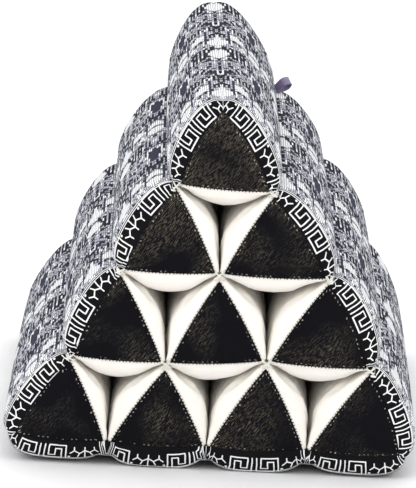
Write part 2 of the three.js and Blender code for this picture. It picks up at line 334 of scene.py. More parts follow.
def fan_faces(count, first, centre, flipped):
    faces = [(first + j, first + (j + 1) % count, centre) for j in range(count)]
    return [face[::-1] for face in faces] if flipped else faces


def new_piece(name, points, faces, material, smooth=True):
    mesh = bpy.data.meshes.new(name)
    mesh.from_pydata([tuple(p) for p in points], [], faces)
    mesh.validate()
    piece = bpy.data.objects.new(name, mesh)
    bpy.context.scene.collection.objects.link(piece)
    mesh.materials.append(material)
    if smooth:
        mesh.polygons.foreach_set("use_smooth", [True] * len(mesh.polygons))
    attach(piece, "root")
    return piece


class Socket:
    """A value in a material. Arithmetic on it adds the Math nodes."""

    def __init__(self, finish, socket):
        self.finish = finish
        self.socket = socket

    def math(self, operation, *others, clamp=False):
        settings = {"operation": operation, "use_clamp": clamp}
        return self.finish.add("ShaderNodeMath", settings, [self, *others])

    def __add__(self, other):
        return self.math("ADD", other)

    __radd__ = __add__

    def __sub__(self, other):
        return self.math("SUBTRACT", other)

    def __rsub__(self, other):
        return self.finish.add("ShaderNodeMath", {"operation": "SUBTRACT"}, [other, self])

    def __mul__(self, other):
        return self.math("MULTIPLY", other)

    __rmul__ = __mul__

    def __truediv__(self, other):
        return self.math("DIVIDE", other)

    def __abs__(self):
        return self.math("ABSOLUTE")

    def __lt__(self, other):
        return self.math("LESS_THAN", other)

    def __gt__(self, other):
        return self.math("GREATER_THAN", other)

    def least(self, other):
        return self.math("MINIMUM", other)

    def most(self, other):
        return self.math("MAXIMUM", other)

    def wrap(self, high, low=0):
        return self.math("WRAP", high, low)

    def sine(self):
        return self.math("SINE")


class Finish:
    """A material with one Principled shader."""

    def __init__(self, name, roughness=0.9, sheen=0.0, specular=0.3):
        self.material = bpy.data.materials.new(name)
        self.material.use_nodes = True
        self.tree = self.material.node_tree
        self.shader = self.tree.nodes["Principled BSDF"]
        self.shader.inputs["Roughness"].default_value = roughness
        self.shader.inputs["Sheen Weight"].default_value = sheen
        self.shader.inputs["Sheen Roughness"].default_value = 0.4
        self.shader.inputs["Specular IOR Level"].default_value = specular

    def add(self, kind, settings=None, values=(), output=0):
        node = self.tree.nodes.new(kind)
        for key, setting in (settings or {}).items():
            if key == "stops":
                ramp = node.color_ramp
                ramp.interpolation = settings.get("blend", "LINEAR")
                while len(ramp.elements) < len(setting):
                    ramp.elements.new(1)
                for element, (position, colour) in zip(ramp.elements, setting):
                    element.position = position
                    element.color = colour
            elif key != "blend":
                setattr(node, key, setting)
        pairs = values.items() if isinstance(values, dict) else enumerate(values)
        for key, value in pairs:
            if isinstance(value, Socket):
                self.tree.links.new(value.socket, node.inputs[key])
            else:
                node.inputs[key].default_value = value
        return Socket(self, node.outputs[output])

    def set(self, name, value):
        self.tree.links.new(value.socket, self.shader.inputs[name])

    def place(self):
        """Object coordinates in millimetres, one number for each axis."""
        coordinates = self.add("ShaderNodeTexCoord", output="Object")
        scaled = self.add("ShaderNodeVectorMath", {"operation": "SCALE"}, {0: coordinates, "Scale": 1000})
        return scaled, [self.add("ShaderNodeSeparateXYZ", None, [scaled], i) for i in range(3)]

    def noise(self, place, scale, detail=2.0, rough=0.5):
        return self.add(
            "ShaderNodeTexNoise",
            None,
            {"Vector": place, "Scale": scale, "Detail": detail, "Roughness": rough},
            "Fac",
        )

    def mix(self, share, first, second):
        node = self.tree.nodes.new("ShaderNodeMix")
        node.data_type = "RGBA"
        for index, value in ((0, share), (6, first), (7, second)):
            if isinstance(value, Socket):
                self.tree.links.new(value.socket, node.inputs[index])
            else:
                node.inputs[index].default_value = value
        return Socket(self, node.outputs[2])

    def bump(self, height, distance, strength=1.0):
        normal = self.add(
            "ShaderNodeBump", None, {"Height": height, "Distance": distance, "Strength": strength}
        )
        self.set("Normal", normal)


cream = Finish("cream_cotton", roughness=0.88, sheen=0.15)
spot, (across, deep, high) = cream.place()
CREAM_THREAD = 2 * math.pi / 0.55
weave = (high * CREAM_THREAD).sine() * (deep * CREAM_THREAD).sine() + (across * CREAM_THREAD).sine() * 0.5
slub = cream.noise(spot, 0.05, 3.0)
cream.set("Base Color", cream.mix(slub, (0.89, 0.845, 0.77, 1), (0.955, 0.93, 0.885, 1)))
cream.bump(weave * 0.5 + slub * 2, 0.25 * MM, 0.5)

tube_rings = rings_along(14, TUBE_RINGS - 28, INNER_SHOULDER)
tube_along = close_at_ends(TUBE_STEPS + 1)[:-1]


def stuffed_tube(row, place):
    rings = [
        np.concatenate([tube_wall(row, place, side, y, tube_along) for side in range(3)])
        for y in tube_rings
    ]
    count = len(rings[0])
    last = len(rings) - 1
    points = np.concatenate(rings)
    faces = grid_faces(len(rings), count, 0, closed=True)
    shares = (0.86, 0.62, 0.35)
    for ring, out_y, flipped in ((rings[0], -1, True), (rings[last], 1, False)):
        first = len(points)
        points = np.concatenate([points, crown_points(ring, out_y, shares, CROWN)])
        edge = 0 if out_y < 0 else last * count
        sides = [(edge + j, edge + (j + 1) % count, first + (j + 1) % count, first + j) for j in range(count)]
        sides += grid_faces(len(shares), count, first, closed=True)
        if flipped:
            sides = [face[::-1] for face in sides]
        faces += sides
        faces += fan_faces(count, first + (len(shares) - 1) * count, first + len(shares) * count, flipped)
    tube = new_piece(f"stuffed_tube_{row}_{place}", points, faces, cream.material)
    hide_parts(f"tube_{row}_{place}")
    return tube


# The stuffing puffs each tube up inside its cloth, which is held along the seams and the rims. The
# cloth is a little too large, so that it dimples, and it never passes the shape that the wall has when
# it is quite full.
PUFF_START = 1.3 * MM  # how far inside its full shape each wall starts
PUFF_CAP = 2.2 * MM  # the most that any point moves
PUFF_SPARE = 0.02  # by which the cloth is too large
PUFF_PRESSURE = 8
PUFF_FRAMES = 20
PUFF_QUALITY = 4
PUFF_MASS = 0.2
PUFF_BENDING = 0.4
FIRM_RINGS = 6  # from each rim, over which the cloth comes loose
FIRM_STEPS = 4  # from each seam, likewise


def puff(tube):
    mesh = tube.data
    count = len(mesh.vertices)
    full = np.empty(count * 3)
    mesh.vertices.foreach_get("co", full)
    full = full.reshape(-1, 3)
    normals = np.array([v.normal[:] for v in mesh.vertices])
    columns = 3 * TUBE_STEPS
    ring, column = np.divmod(np.arange(count), columns)
    from_end = np.minimum(ring, len(tube_rings) - 1 - ring)
    from_seam = np.minimum(column % TUBE_STEPS, TUBE_STEPS - column % TUBE_STEPS)
    loose = np.clip(from_end / FIRM_RINGS, 0, 1) * np.clip(from_seam / FIRM_STEPS, 0, 1)
    start = full - normals * (PUFF_START * loose)[:, None]
    mesh.vertices.foreach_set("co", start.ravel())
    held = tube.vertex_groups.new(name="held")
    for index in np.flatnonzero(loose <= 0):
        held.add([int(index)], 1.0, "REPLACE")
    cloth = tube.modifiers.new("cloth", "CLOTH")
    cloth.settings.quality = PUFF_QUALITY
    cloth.settings.mass = PUFF_MASS
    cloth.settings.bending_stiffness = PUFF_BENDING
    cloth.settings.use_pressure = True
    cloth.settings.uniform_pressure_force = PUFF_PRESSURE
    cloth.settings.shrink_min = -PUFF_SPARE
    cloth.settings.effector_weights.gravity = 0
    cloth.settings.vertex_group_mass = "held"
    for frame_number in range(1, PUFF_FRAMES + 1):
        bpy.context.scene.frame_set(frame_number)
    puffed = tube.evaluated_get(bpy.context.evaluated_depsgraph_get()).data
    moved = np.empty(count * 3)
    puffed.vertices.foreach_get("co", moved)
    tube.modifiers.remove(cloth)
    tube.vertex_groups.remove(held)
    move = moved.reshape(-1, 3) - start
    reach = np.linalg.norm(move, axis=1)[:, None]
    soft = start + move * np.minimum(1, PUFF_CAP / np.maximum(reach, 1e-9)) * loose[:, None]
    past = np.maximum(0, ((soft - full) * normals).sum(axis=1))
    soft -= normals * past[:, None]
    mesh.vertices.foreach_set("co", soft.ravel())
    mesh.update()
    bpy.context.scene.frame_set(1)


tubes = [stuffed_tube(row, place) for row, place in STUFFING]
for tube in tubes:
    puff(tube)

# The end panels are black cotton triangles, one in each end of each tube. The stuffing pushes them out
# a little. Pale slub threads show in their weave, and a row of small stitches follows their edge.
PANEL_GAP = 0.5 * MM
PANEL_RINGS = 12
PANEL_STEPS = 22
STITCH_PITCH = 4.6
STITCH_INSET = 1.7
black = Finish("black_cotton", roughness=0.95, sheen=0.0, specular=0.06)
spot, (across, deep, high) = black.place()
THREAD_TURN = math.radians(38)  # of the panels' weave, from upright
BLACK_THREAD = 2 * math.pi / 1.3
turned = black.add(
    "ShaderNodeMapping",
    {"vector_type": "TEXTURE"},
    {"Vector": spot, "Rotation": (0, THREAD_TURN, 0), "Scale": (0.5, 4, 4)},
)
slub = black.noise(turned, 1.0, 2.0, 0.6)
patch = black.noise(spot, 0.016, 1.0)
ridge_worn = ((high - 215) / 40).math("ADD", 0, clamp=True)
rubbed = ((patch - 0.47 + ridge_worn * 0.22) * 6).math("ADD", 0, clamp=True)
worn = ((slub - 0.53 + ridge_worn * 0.03) * 9).math("ADD", 0, clamp=True) * rubbed
colour = black.mix(worn, (0.0062, 0.0062, 0.0082, 1), (0.115, 0.1, 0.075, 1))
along = black.add("ShaderNodeUVMap", {"uv_map": "edge"})
run = black.add("ShaderNodeSeparateXYZ", None, [along], 0) * 1000
inwards = black.add("ShaderNodeSeparateXYZ", None, [along], 1) * 1000
stray = black.noise(spot, 0.35, 1.0)
beside = ((run + stray * 2.4).wrap(STITCH_PITCH) - STITCH_PITCH / 2) / 0.75
above = (inwards - STITCH_INSET + (stray - 0.5) * 2) / 0.45
stitches = (beside * beside + above * above) < 1
colour = black.mix(stitches * (black.noise(spot, 0.16, 1.0) > 0.5), colour, (0.36, 0.33, 0.27, 1))
black.set("Base Color", colour)
turn_x, turn_z = math.cos(THREAD_TURN) * BLACK_THREAD, math.sin(THREAD_TURN) * BLACK_THREAD
threads = (across * turn_x + high * turn_z).sine() + (high * turn_x - across * turn_z).sine() * 0.6
black.bump(threads + slub * 3, 0.3 * MM, 0.7)


def end_rim(row, place, out_y):
    """The edge of a tube's end, side by side."""
    along = close_at_ends(PANEL_STEPS + 1)[:-1]
    return np.concatenate([tube_wall(row, place, side, out_y * HALF, along) for side in range(3)])


def mark_edge(panel, rim, centre, shares):
    """A UV map in metres: along the panel's edge, and inwards from it."""
    count = len(rim)
    after = np.roll(rim, -1, axis=0)
    run = np.concatenate([[0], np.cumsum(np.linalg.norm(after - rim, axis=1))])
    inner = []
    for side in range(3):
        first, last = rim[side * PANEL_STEPS], rim[(side + 1) * PANEL_STEPS % count]
        inner.append(abs(np.cross(unit(last - first), centre - first)[1]))
    coordinates = panel.data.uv_layers.new(name="edge")
    for face in panel.data.polygons:
        column = face.index % count
        for corner, vertex in zip(face.loop_indices, face.vertices):
            ring, place = divmod(vertex, count)
            share = shares[ring] if vertex < PANEL_RINGS * count else 0
            u = run[place] if place or column != count - 1 else run[-1]
            coordinates.data[corner].uv = u, (1 - share) * inner[column // PANEL_STEPS]


def end_panel(row, place, end):
    out_y = -1 if end == "front" else 1
    rim = end_rim(row, place, out_y)
    centre = rim.mean(axis=0)
    spread = np.linalg.norm(rim - centre, axis=1)[:, None]
    rim = rim + (centre - rim) * PANEL_GAP / spread
    rim[:, 1] += out_y * (GAP + CLOTH / 2)
    shares = 1 - np.linspace(0, 1, PANEL_RINGS + 1)[:-1] ** 1.3
    points = crown_points(rim, out_y, shares, CROWN)
    count = len(rim)
    faces = grid_faces(PANEL_RINGS, count, 0, closed=True)
    faces += fan_faces(count, (PANEL_RINGS - 1) * count, PANEL_RINGS * count, False)
    if out_y < 0:
        faces = [face[::-1] for face in faces]
    panel = new_piece(f"end_panel_{end}_{row}_{place}", points, faces, black.material)
    mark_edge(panel, rim, centre, shares)
    thickness = panel.modifiers.new("thickness", "SOLIDIFY")
    thickness.thickness = CLOTH
    thickness.offset = 0
    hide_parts(f"panel_{end}_{row}_{place}")
    size = rim.max(axis=0) - rim.min(axis=0)
    after = np.roll(rim, -1, axis=0)
    area = abs((rim[:, 0] * after[:, 2] - after[:, 0] * rim[:, 2]).sum()) / 2


for row, place in STUFFING:
    for end in ("front", "back"):
        end_panel(row, place, end)

# Black whip stitches bind each panel to the cream walls of its tube. They go over the edge one beside
# the other and show as a row of small black scallops on the cream cotton.
WHIP_PITCH = 3.1 * MM
WHIP_REACH = 0.95 * MM
WHIP_THREAD = 0.5 * MM
whip_thread = Finish("black_thread", roughness=0.8, sheen=0.05, specular=0.25)
spot, (across, deep, high) = whip_thread.place()
strands = whip_thread.noise(spot, 1.4, 2.0)
whip_thread.set("Base Color", whip_thread.mix(strands, (0.004, 0.004, 0.005, 1), (0.016, 0.015, 0.014, 1)))
whip_thread.bump(strands, 0.2 * MM, 0.5)


def copies(name, shape, faces, frames, material):
    """One mesh of many copies of a small shape, each placed by a middle and three axes."""
    points = [middle + shape @ np.array(axes) for middle, axes in frames]
    every = [tuple(i + k * len(shape) for i in face) for k in range(len(points)) for face in faces]
    return new_piece(name, np.concatenate(points), every, material)


def bead_shape():
    """A small ball's points and faces, of radius one."""
    deselect()
    bpy.ops.mesh.primitive_uv_sphere_add(segments=6, ring_count=4, radius=1, location=(0, 0, 0))
    ball = bpy.context.object
    shape = np.array([v.co[:] for v in ball.data.vertices])
    faces = [tuple(face.vertices) for face in ball.data.polygons]
    bpy.data.objects.remove(ball)
    return shape, faces


stitch_shape, stitch_faces = bead_shape()
hand = random.Random(7)


def whip_frames(out_y):
    frames = []
    for row, place in STUFFING:
        rim = end_rim(row, place, out_y)
        centre = rim.mean(axis=0)
        for side in range(3):
            if not third_seam(row, place, side):
                continue
            edge = rim[np.arange(side * PANEL_STEPS, (side + 1) * PANEL_STEPS + 1) % len(rim)]
            run = np.concatenate([[0], np.cumsum(np.linalg.norm(np.diff(edge, axis=0), axis=1))])
            for k in range(1, int(run[-1] / WHIP_PITCH)):
                at = (k + hand.uniform(-0.15, 0.15)) * WHIP_PITCH
                middle = np.array([np.interp(at, run, edge[:, i]) for i in range(3)])
                along = unit(edge[-1] - edge[0])
                outward = unit(np.cross(along, (0, 1, 0)))
                if outward @ (middle - centre) < 0:
                    outward = -outward
                slant = unit(outward + along * hand.uniform(0.1, 0.5))
                reach = WHIP_REACH * hand.uniform(0.8, 1.2)
                middle = middle + outward * 0.1 * MM + np.array([0, out_y, 0]) * (GAP + CLOTH * 0.55)
                across_slant = np.cross(slant, (0, 1, 0)) * WHIP_THREAD
                axes = (slant * reach, np.array([0, 1, 0]) * WHIP_REACH * 0.75, across_slant)
                frames.append((middle, axes))
    return frames


for end, out_y in (("front", -1), ("back", 1)):
    placed = whip_frames(out_y)
    stitching = copies(f"whip_stitches_{end}", stitch_shape, stitch_faces, placed, whip_thread.material)

# Knots of cream yarn tie the tubes' corners together at both ends, wound crosswise over the tips of
# the panels that meet there, with one or two loose thread ends.
KNOTS = [(1, 0), (1, 1), (2, 0), (2, 1), (2, 2), (3, 0), (3, 1), (3, 2), (3, 3)]
YARN = 0.48 * MM
YARN_REACH = 6 * MM
yarn = Finish("cream_yarn", roughness=0.85, sheen=0.2)
spot, (across, deep, high) = yarn.place()
twist = ((across + deep + high) * (2 * math.pi / 0.9)).sine()
yarn_shade = yarn.noise(spot, 0.4, 2.0)
yarn.set("Base Color", yarn.mix(yarn_shade, (0.8, 0.78, 0.68, 1), (0.97, 0.96, 0.9, 1)))
yarn.bump(twist, 0.15 * MM, 0.6)


def strand(path, radius, sides=6):
    """The points and faces of a closed round strand along some points."""
    path = np.array(path)
    runs = np.gradient(path, axis=0)
    rings = []
    for middle, run in zip(path, runs):
        first = unit(np.cross(run, (0.3, 1, 0.2)))
        second = unit(np.cross(run, first))
        turns = np.arange(sides) * 2 * math.pi / sides
        rings.append(middle + radius * (np.cos(turns)[:, None] * first + np.sin(turns)[:, None] * second))
    points = np.concatenate(rings)
    faces = [face[::-1] for face in grid_faces(len(path), sides, 0, closed=True)]
    last = (len(path) - 1) * sides
    return points, faces + [tuple(range(sides)), tuple(range(last + sides - 1, last - 1, -1))]


def knot_paths(row, place, out_y):
    node = seam(row, place, out_y * HALF)
    flank = place in (0, row)
    reach = YARN_REACH * (0.8 if flank else 1)
    paths = []
    for k in range(6):
        angle = math.radians((52 if k % 2 else -52) + hand.uniform(-16, 16) + 90)
        line = np.array([math.cos(angle), 0, math.sin(angle)])
        aside = np.array([-line[2], 0, line[0]]) * hand.uniform(-1.3, 1.3) * MM
        lift = (1.9 + 0.35 * k) * MM
        path = []
        for t in np.linspace(-1, 1, 9):
            dip = (1 - t * t) * lift + 0.4 * MM
            path.append(node + line * t * reach + aside * (1 - t * t) + np.array([0, out_y, 0]) * dip)
        paths.append(path)
    for _ in range(hand.choice((1, 2))):
        angle = math.radians(hand.uniform(20, 160))
        line = np.array([math.cos(angle), 0, math.sin(angle)])
        length = hand.uniform(5, 8) * MM
        paths.append([
            node + line * t * length + np.array([0, out_y * (2.6 + 1.2 * t) * MM, -2.5 * MM * t * t])
            for t in np.linspace(0, 1, 6)
        ])
    return paths


for end, out_y in (("front", -1), ("back", 1)):
    points, faces = [], []
    for row, place in KNOTS:
        for k, path in enumerate(knot_paths(row, place, out_y)):
            more, closed = strand(path, YARN if k < 6 else YARN * 0.6)
            faces += [tuple(i + len(points) for i in face) for face in closed]
            points += list(more)
    knots = new_piece(f"corner_knots_{end}", points, faces, yarn.material)

# The cover is one printed cloth over both flanks and the ridge. It is sewn down in the creases between
# the rows, and its ends are turned in over the rims as a black border with a white key pattern.
CREASE_FILL = 4 * MM
CREASE_RIM = 1.2 * MM
BASE_FILL = 15 * MM
CREASE_HALF = 0.75 * MM  # between a crease's middle and the middle of the cloth beside it
TURNED_IN = 0.35 * MM  # how far the cover's ends reach in over the tubes' rims
BORDER_DEPTH = 9.5 * MM  # where the border's outer edge lies, behind the rim
COVER_STEPS = 30
FIELD_LENGTH = 472  # of the cloth between its two borders
PERIOD = 80.5
cover_rings = rings_along(18, 78, OUTER_SHOULDER)
cover_along = close_at_ends(COVER_STEPS + 1)

# The middle of a branching motif on each wall of the cover and the base, as a share of the wall from
# its upper or left end.
MOTIF_ON_LEFT = [0.0, 0.55, 0.28, 0.03]
MOTIF_ON_RIGHT = [0.0, 0.10, 0.75, 0.30]
MOTIF_ON_BASE = [0.73, 0.44, 0.15, 0.05]


def cloth_normals(grid):
    across = np.gradient(grid, axis=1)
    along = np.gradient(grid, axis=0)
    normals = np.cross(across, along)
    lengths = np.linalg.norm(normals, axis=2, keepdims=True)
    return normals / np.maximum(lengths, 1e-12)


def corner_seams(row, place, side, y):
    corners = [(row, place - 1), (row - 1, place - 1), (row, place)]
    return seam(*corners[side], y), seam(*corners[(side + 1) % 3], y)


def cloth_wall(row, place, side, crease_at_start, crease_at_end):
    """The middle of the cloth on one wall, station by station, kept out of the other side of a crease."""
    full_fill = BASE_FILL if side == 2 else CREASE_FILL
    fill = CREASE_RIM + (full_fill - CREASE_RIM) * growth(cover_rings, OUTER_SHOULDER)
    wall = np.array([tube_wall(row, place, side, y, cover_along) for y in cover_rings])
    laid = wall + cloth_normals(wall) * (GAP + CLOTH / 2)
    laid[0] = wall[0] + np.array([0, -1, 0]) * (GAP + CLOTH / 2)
    laid[-1] = wall[-1] + np.array([0, 1, 0]) * (GAP + CLOTH / 2)
    for i, y in enumerate(cover_rings):
        start, end = corner_seams(row, place, side, y)
        out = outwards(start, end)
        direction = unit(end - start)
        length = np.linalg.norm(end - start)
        along = (laid[i] - start) @ direction
        height = (laid[i] - start) @ out
        shortfall = np.maximum(0, fill[i] + CLOTH / 2 - height)
        if not crease_at_start:
            shortfall = np.where(along < length / 2, 0, shortfall)
        if not crease_at_end:
            shortfall = np.where(along > length / 2, 0, shortfall)
        laid[i] += shortfall[:, None] * out
        if crease_at_start:
            laid[i] += (np.maximum(along, CREASE_HALF) - along)[:, None] * direction
            laid[i, 0] = start + out * (fill[i] + CLOTH / 2)
        if crease_at_end:
            laid[i] += (np.minimum(along, length - CREASE_HALF) - along)[:, None] * direction
            laid[i, -1] = end + out * (fill[i] + CLOTH / 2)
    ends = []
    for i, out_y in ((0, -1), (-1, 1)):
        centre = end_rim(row, place, out_y).mean(axis=0)
        inward = centre - wall[i]
        inward = inward / np.linalg.norm(inward, axis=1)[:, None]
        ends.append(wall[i] + inward * TURNED_IN + np.array([0, out_y, 0]) * (GAP + CLOTH / 2))
    wall = np.concatenate([ends[:1], wall, ends[1:]])
    laid = np.concatenate([ends[:1], laid, ends[1:]])
    laid[:, :, 2] = np.maximum(laid[:, :, 2], CLOTH / 2)
    return wall, laid


def lay_cloth(name, walls, motifs, top_at_start, material):
    """A cloth over some walls, with a UV map in metres: along the wall, and back from the front border."""
    columns = []
    marks = []
    seams_between = len(walls) - 1
    for index, (row, place, side) in enumerate(walls):
        ridge_start = (row, side) == (1, 1)
        ridge_end = (row, side) == (1, 0)
        wall, laid = cloth_wall(
            row, place, side, index > 0 and not ridge_start, index < seams_between and not ridge_end
        )
        middle = wall[len(cover_rings) // 2]
        run = np.concatenate([[0], np.cumsum(np.linalg.norm(np.diff(middle, axis=0), axis=1))])
        from_top = run if top_at_start[index] else run[-1] - run
        u = from_top - motifs[index] * run[-1]
        steps = np.linalg.norm(np.diff(wall, axis=0), axis=2)
        depth = np.concatenate([np.zeros((1, wall.shape[1])), np.cumsum(steps, axis=0)])
        front = np.array([np.interp(BORDER_DEPTH - HALF, cover_rings, d) for d in depth[1:-1].T])
        back = np.array([np.interp(HALF - BORDER_DEPTH, cover_rings, d) for d in depth[1:-1].T])
        v = (depth - front) / (back - front) * FIELD_LENGTH * MM
        columns.append(laid)
        marks.append(np.stack([np.broadcast_to(u, v.shape), v], axis=2))
    points = [columns[0][:, :1]]
    for laid in columns:
        points[-1] = (points[-1] + laid[:, :1]) / 2
        points.append(laid[:, 1:-1])
        points.append(laid[:, -1:])
    grid = np.concatenate(points, axis=1)
    rows, width = grid.shape[:2]
    faces = [face[::-1] for face in grid_faces(rows, width)]
    cloth = new_piece(name, grid.reshape(-1, 3), faces, material)
    coordinates = cloth.data.uv_layers.new(name="cloth")
    for face in cloth.data.polygons:
        first_column = min(face.vertices) % width
        wall_index = min(first_column // COVER_STEPS, len(walls) - 1)
        for corner, vertex in zip(face.loop_indices, face.vertices):
            i, j = divmod(vertex, width)
            coordinates.data[corner].uv = marks[wall_index][i, j - wall_index * COVER_STEPS]
    return cloth


def cloth_place(finish):
    """Millimetres along the wall and back from the border's outer edge."""
    coordinates = finish.add("ShaderNodeUVMap", {"uv_map": "cloth"})
    scaled = finish.add("ShaderNodeVectorMath", {"operation": "SCALE"}, {0: coordinates, "Scale": 1000})
    u = finish.add("ShaderNodeSeparateXYZ", None, [scaled], 0)
    v = finish.add("ShaderNodeSeparateXYZ", None, [scaled], 1)
    return scaled, u, v


# The half of a key that lies left of the keys' middle, as fractions of its width and height. Heights
# run from the end panel's edge, 0, to the border's outer edge, 1.
KEY = [(0, 1), (0, 0), (0.8, 0), (0.8, 0.7), (0.5, 0.7), (0.5, 0.22), (0.2, 0.22), (0.2, 1), (1, 1), (1, 0)]
KEY_WIDTH = 20
KEY_HEIGHT = 16.5
KEY_MIDDLE_GAP = 4.5
KEY_LINE = 0.62  # half of a line's width
# The branching motif between two pairs of keys, as millimetres from its start and fractions of the height.
BRANCHES = [
    [(20, 0.1), (20, 0.9)],
    [(20, 0.3), (15, 0.5), (10, 0.3), (6, 0.5)],
    [(20, 0.3), (25, 0.5), (30, 0.3), (34, 0.5)],
    [(15, 0.5), (13, 0.8)],
    [(25, 0.5), (27, 0.8)],
    [(10, 0.3), (10, 0.1)],
    [(30, 0.3), (30, 0.1)],
]
BRANCH_DOTS = [(5, 0.8), (35, 0.8)]
BRANCH_WIDTH = 40
BRANCH_LINE = 0.6
DOT_RADIUS = 1.25


def segment_distance(finish, spot, start, end):
    a, b = Vector((*start, 0)), Vector((*end, 0))
    line = b - a
    relative = finish.add("ShaderNodeVectorMath", {"operation": "SUBTRACT"}, [spot, a])
    run = finish.add("ShaderNodeVectorMath", {"operation": "DOT_PRODUCT"}, [relative, line], "Value")
    share = run.math("DIVIDE", line.length_squared, clamp=True)
    foot = finish.add("ShaderNodeVectorMath", {"operation": "SCALE"}, {0: line, "Scale": share})
    apart = finish.add("ShaderNodeVectorMath", {"operation": "SUBTRACT"}, [relative, foot])
    return finish.add("ShaderNodeVectorMath", {"operation": "LENGTH"}, [apart], "Value")


def line_distance(finish, spot, *paths):
    least = None
    for path in paths:
        for start, end in zip(path, path[1:]):
            distance = segment_distance(finish, spot, start, end)
            least = distance if least is None else least.least(distance)
    return least


def border_lines(finish, u, inwards):
    """1 on the border's white threads. inwards is the distance from its outer edge."""
    start = PERIOD / 2 - KEY_WIDTH - KEY_MIDDLE_GAP / 2
    round_motif = (u + PERIOD / 2).wrap(PERIOD)  # the branching motif lies in the middle of this
    from_keys = KEY_WIDTH + KEY_MIDDLE_GAP / 2 - (u.wrap(PERIOD) - PERIOD / 2).math("ABSOLUTE")
    height = KEY_HEIGHT - inwards
    key_spot = finish.add("ShaderNodeCombineXYZ", None, [from_keys, height])
    key_path = [(a * KEY_WIDTH, w * KEY_HEIGHT) for a, w in KEY]
    keys = line_distance(finish, key_spot, key_path) < KEY_LINE
    branch_spot = finish.add(
        "ShaderNodeCombineXYZ", None, [round_motif - (PERIOD - BRANCH_WIDTH) / 2, height]
    )
    branch_paths = [[(x, w * KEY_HEIGHT) for x, w in path] for path in BRANCHES]
    branches = line_distance(finish, branch_spot, *branch_paths) < BRANCH_LINE
    for x, w in BRANCH_DOTS:
        middle = (x, w * KEY_HEIGHT, 0)
        apart = finish.add("ShaderNodeVectorMath", {"operation": "DISTANCE"}, [branch_spot, middle], "Value")
        branches = branches.most(apart < DOT_RADIUS)
    outer_line = (inwards - 0.9).math("ABSOLUTE") < 0.55
    return keys.most(branches).most(outer_line)


BLACK_THREADS = (0.006, 0.006, 0.0075, 1)
WHITE_THREADS = (0.88, 0.88, 0.88, 1)
SLATE = (0.036, 0.039, 0.064, 1)
INK = (0.012, 0.012, 0.018, 1)
PALE = (0.5, 0.51, 0.57, 1)
FIELD_WHITE = (0.88, 0.885, 0.9, 1)
# The darker tone of the ground: painted shade in the grooves between the ribs, and also the colour of the
# weft's dark ticks and strokes.
GROOVE_SHADE_AND_TICKS = (0.028, 0.03, 0.045, 1)

# One repeat of the flanks' pattern: where a line of the chart starts, in millimetres back from the
# border, and half of the line, from the middle of the motif outwards, two millimetres to a mark:
# a dot for the ribbed ground, o for white, s for slate and # for black.
FIELD_REPEAT = 236
FIELD_TURN = 116  # where the second half of the chart starts
FIELD_MARK = 2
FIELD_CHART = [
    (0, "...................."),
    (9, "oooo........oo...ooo"),
    (14, "ooooos.....ooo.soooo"),
    (22, "ooooos....##o..soooo"),
    (28, "oooo.s..##.....s##oo"),
    (31, "ooo..s##.......s..##"),
    (34, "oo..ss.........s...."),
    (38, "oo...s.ooooooo.s.ooo"),
    (44, "o....sooooooo..s.ooo"),
    (52, "o..#.sooooooo..s#.oo"),
    (57, "o.##.sooooo...#s.#.."),
    (61, "o##..s......##.s..#."),
    (65, "##...s....##..ss...#"),
    (69, "#....s..##....s....."),
    (73, ".....s........s....."),
    (77, "...................."),
    (80, "..#...#.#.###.#.#.#."),
    (84, ".#.#..#.#.#.#.#.#.#."),
    (88, ".#.#.#..#.#.#.#.#.#."),
    (93, "#..#.#.##.#.#.#.#.#."),
    (98, "#.#...#.#..##.#.#.#."),
    (103, "##..##...##...#.#.#."),
    (107, "...................s"),
    (110, "..................ss"),
    (116, "#...#...#...#.....ss"),
    (123, "#.................ss"),
    (128, "..................ss"),
    (131, "..##..##..##..##..ss"),
    (134, "..................ss"),
    (138, "#...#...#...#.....ss"),
    (146, "#.................ss"),
    (152, "..................ss"),
    (158, "...................s"),
    (163, "...................."),
    (168, "########............"),
    (171, "......##########...."),
    (174, "..............######"),
    (178, "......#.#.#.#......."),
    (186, "ooo.#.#.#.#.#..s.#.."),
    (192, "oooo..#.#.#.#..s.#.."),
    (198, "ooooo.#.#.#.#..s.#.."),
    (206, "oooo..#.#.#.#..s.#.."),
    (212, "ooo.#.#.#.#.#..s...."),
    (218, "o..##.#.#.#.#..s...."),
    (224, "..##..#.#.#.#......."),
    (229, "##......########...."),
    (232, "..##............####"),
]


def chart_stops(first, last):
    """A ramp's stops: each chart line's marks as binary fractions, black in red, slate in green, white
    in blue."""
    stops = []
    for start, line in FIELD_CHART:
        if not first <= start < last:
            continue
        colour = []
        for mark in "#so":
            bits = sum(2.0 ** -(i + 1) for i, m in enumerate(line) if m == mark)
            colour.append(bits + 2.0 ** -(len(line) + 1))
        stops.append(((start - first) / (last - first), (*colour, 1)))
    return stops


WEFT = 11  # millimetres between the weft's pale ticks along a rib


